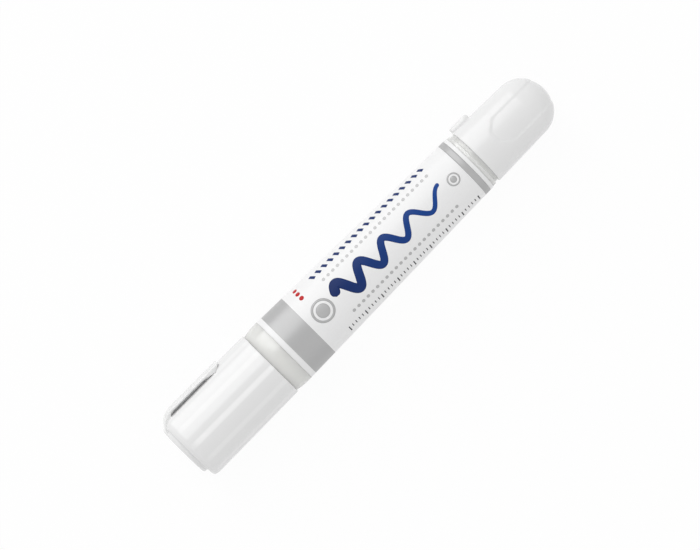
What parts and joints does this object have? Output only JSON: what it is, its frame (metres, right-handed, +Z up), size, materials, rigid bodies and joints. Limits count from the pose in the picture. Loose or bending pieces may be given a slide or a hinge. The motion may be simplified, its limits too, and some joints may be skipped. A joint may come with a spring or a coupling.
{
  "type": "double-ended marker",
  "caption": "Double-ended marker with a tapered barrel in a printed film, translucent collars, a push-on cap with pocket clip, a domed push-on cap, and sprung valve nibs.",
  "frame": {"origin": "on the marker's axis at the middle of its overall length", "axes": "+X along the axis toward the medium nib, +Y toward the clip and the lug, +Z up as it lies"},
  "size_m": [0.1396, 0.0223, 0.0218],
  "materials": {
    "tube_plastic": "satin",
    "film": "satin",
    "polished_steel": "polished",
    "natural_plastic": "satin",
    "fibre": "matte",
    "seal_rubber": "matte",
    "valve_plastic": "satin",
    "spring_wire": "satin",
    "cap_plastic": "gloss",
    "liner_plastic": "satin"
  },
  "bodies": {
    "barrel_unit": {"barrel": "tube_plastic", "label_film": "film", "thick_nib_holder": "natural_plastic", "thick_valve_gasket": "seal_rubber", "thick_valve_seat": "valve_plastic", "thick_valve_spring": "spring_wire", "thick_valve_cage": "valve_plastic", "medium_nib_holder": "natural_plastic", "medium_valve_gasket": "seal_rubber", "medium_valve_seat": "valve_plastic", "medium_valve_spring": "spring_wire", "medium_valve_cage": "valve_plastic"},
    "thick_cap_unit": {"thick_cap": "cap_plastic", "thick_cap_liner": "liner_plastic"},
    "medium_cap_unit": {"medium_cap": "cap_plastic", "medium_cap_liner": "liner_plastic"},
    "thick_nib_unit": {"thick_nib": "fibre", "thick_valve_stem": "valve_plastic"},
    "medium_nib_unit": {"medium_nib": "fibre", "medium_valve_stem": "valve_plastic"},
    "ball_unit": {"agitator_ball": "polished_steel"}
  },
  "joints": [
    {"name": "thick_cap_pull", "type": "slide", "parent": "barrel_unit", "child": "thick_cap_unit", "axis": [-1, 0, 0], "range_m": [0, 0.04]},
    {"name": "medium_cap_pull", "type": "slide", "parent": "barrel_unit", "child": "medium_cap_unit", "axis": [1, 0, 0], "range_m": [0, 0.032]},
    {"name": "thick_nib_press", "type": "slide", "parent": "barrel_unit", "child": "thick_nib_unit", "axis": [1, 0, 0], "range_m": [0, 0.0012], "stiffness_N_per_m": 1000, "springref_m": -0.0008, "deforming": ["thick_valve_spring"]},
    {"name": "medium_nib_press", "type": "slide", "parent": "barrel_unit", "child": "medium_nib_unit", "axis": [-1, 0, 0], "range_m": [0, 0.0012], "stiffness_N_per_m": 1000, "springref_m": -0.0008, "deforming": ["medium_valve_spring"]},
    {"name": "ball_roll", "type": "slide", "parent": "barrel_unit", "child": "ball_unit", "axis": [0.9998, 0, 0.0212], "range_m": [0, 0.0477]}
  ]
}
